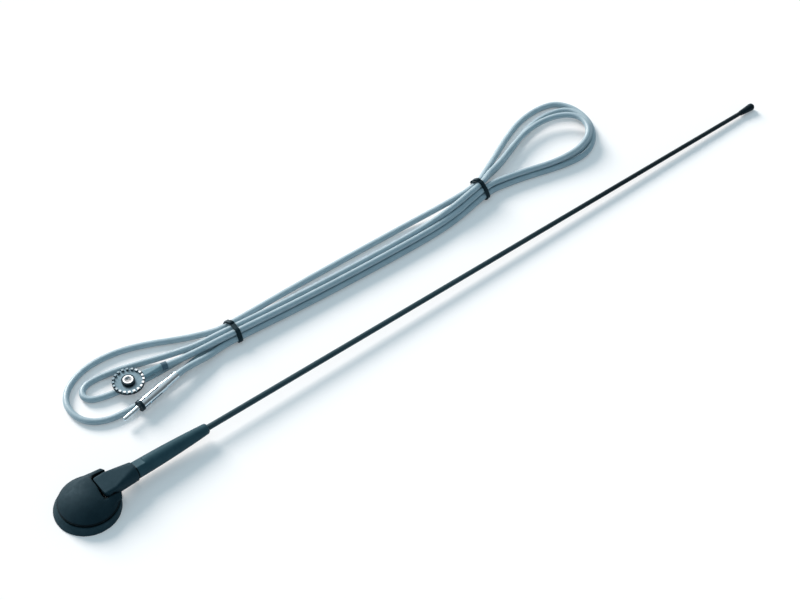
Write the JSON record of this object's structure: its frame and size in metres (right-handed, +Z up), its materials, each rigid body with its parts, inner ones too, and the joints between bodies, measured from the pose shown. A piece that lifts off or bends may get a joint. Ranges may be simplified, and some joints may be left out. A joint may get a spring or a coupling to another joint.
{
  "type": "car mast aerial",
  "caption": "Car mast aerial: a low round base on a rubber gasket, a tilting lug, a tapered ferrule and a slim whip, with its coaxial lead tied in a hank.",
  "frame": {"origin": "centre of the gasket's underside, on the axis of the threaded hole for the roof screw", "axes": "+Z up from the roof, +X along the mast as it lies, +Y to the side where the lead lies"},
  "size_m": [0.6395, 0.1286, 0.0156],
  "materials": {
    "gasket_rubber": "matt black rubber",
    "dome_plastic": "satin black moulding",
    "foot_casting": "bare casting",
    "insert_brass": "turned brass",
    "screw_steel": "zinc-plated steel",
    "washer_steel": "spring steel",
    "lug_plastic": "satin black moulding",
    "pin_steel": "ground steel",
    "bush_brass": "turned brass",
    "stud_steel": "zinc-plated steel",
    "ferrule_plastic": "satin black moulding",
    "whip_coating": "black coated rod",
    "tip_plastic": "satin black moulding",
    "cable_sheath": "smooth grey sheath",
    "tie_plastic": "black band",
    "crown_metal": "dull grey casting",
    "collar_plastic": "black insulator",
    "eyelet_metal": "bright plated contact",
    "neck_plastic": "grey moulding",
    "sleeve_plastic": "dark band",
    "plug_metal": "bright plated metal",
    "disc_plastic": "black insulator"
  },
  "bodies": {
    "base": {"base_gasket": "gasket_rubber", "base_dome": "dome_plastic", "base_plate": "foot_casting", "threaded_insert": "insert_brass", "dome_screws": "screw_steel", "washer_left": "washer_steel", "washer_right": "washer_steel", "lead_hank": "cable_sheath", "lead_terminal_tail": "cable_sheath", "lead_plug_tail": "cable_sheath", "tie_near": "tie_plastic", "tie_far": "tie_plastic", "terminal_crown": "crown_metal", "terminal_collar": "collar_plastic", "terminal_eyelet": "eyelet_metal", "terminal_neck": "neck_plastic", "terminal_sleeve": "sleeve_plastic", "plug_crimp": "plug_metal", "plug_shell": "plug_metal", "plug_insulator": "disc_plastic", "plug_pin": "plug_metal"},
    "lug": {"tilt_lug": "lug_plastic", "pivot_pin": "pin_steel", "lug_bush": "bush_brass"},
    "mast": {"mast_stud": "stud_steel", "mast_ferrule": "ferrule_plastic", "whip_rod": "whip_coating", "tip_cap": "tip_plastic"}
  },
  "joints": [
    {"name": "lug_tilt", "type": "hinge", "parent": "base", "child": "lug", "pos_m": [0.0159, 0, 0.0106], "axis": [0, -1, 0], "range_deg": [0, 75]},
    {"name": "mast_screw", "type": "hinge", "parent": "lug", "child": "mast", "pos_m": [0.0366, 0, 0.0087], "axis": [0.9999, 0, -0.01], "continuous": true}
  ]
}
